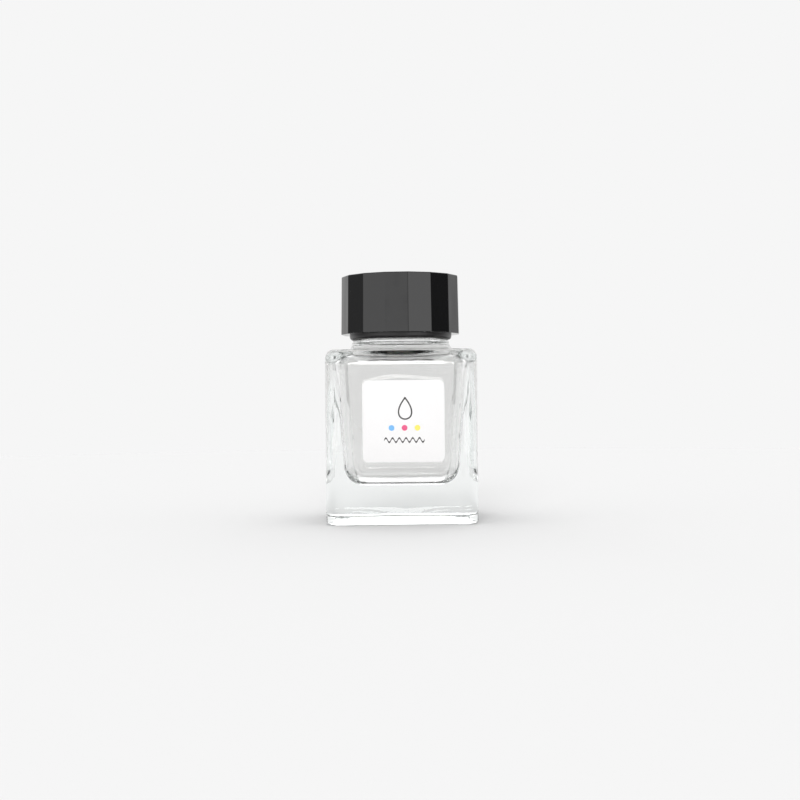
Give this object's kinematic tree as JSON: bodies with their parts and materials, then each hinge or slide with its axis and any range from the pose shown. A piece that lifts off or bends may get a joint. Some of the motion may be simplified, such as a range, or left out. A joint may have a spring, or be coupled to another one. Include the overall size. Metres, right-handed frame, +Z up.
{
  "type": "ink bottle",
  "caption": "Square heavy-based glass ink bottle filled with clear ink, with a paper front label and a faceted black screw cap holding a threaded insert and a foam seal.",
  "frame": {"origin": "centre of the base, where the bottle stands", "axes": "+Z up along the neck and cap, -Y out of the face that carries the label, +X to the label's right"},
  "size_m": [0.04, 0.0401, 0.0665],
  "materials": {
    "flint_glass": "polished",
    "clear_ink": "gloss",
    "label_paper": "satin",
    "black_gloss": "gloss",
    "black_satin": "satin",
    "white_foam": "matte"
  },
  "bodies": {
    "bottle": {"glass_bottle": "flint_glass", "ink_fill": "clear_ink", "front_label": "label_paper"},
    "seal": {"cap_liner": "white_foam"},
    "cap": {"cap_shell": "black_gloss", "cap_insert": "black_satin"}
  },
  "joints": [
    {"name": "cap_lift", "type": "slide", "parent": "bottle", "child": "seal", "axis": [0, 0, 1], "range_m": [0, 0.0175]},
    {"name": "cap_turn", "type": "hinge", "parent": "seal", "child": "cap", "pos_m": [0, 0, 0.05], "axis": [0, 0, 1], "range_deg": [0, 1980]}
  ],
  "couplings": [
    {"joint": "cap_lift", "follows": "cap_turn", "m_per_rad": 0.00050532}
  ]
}
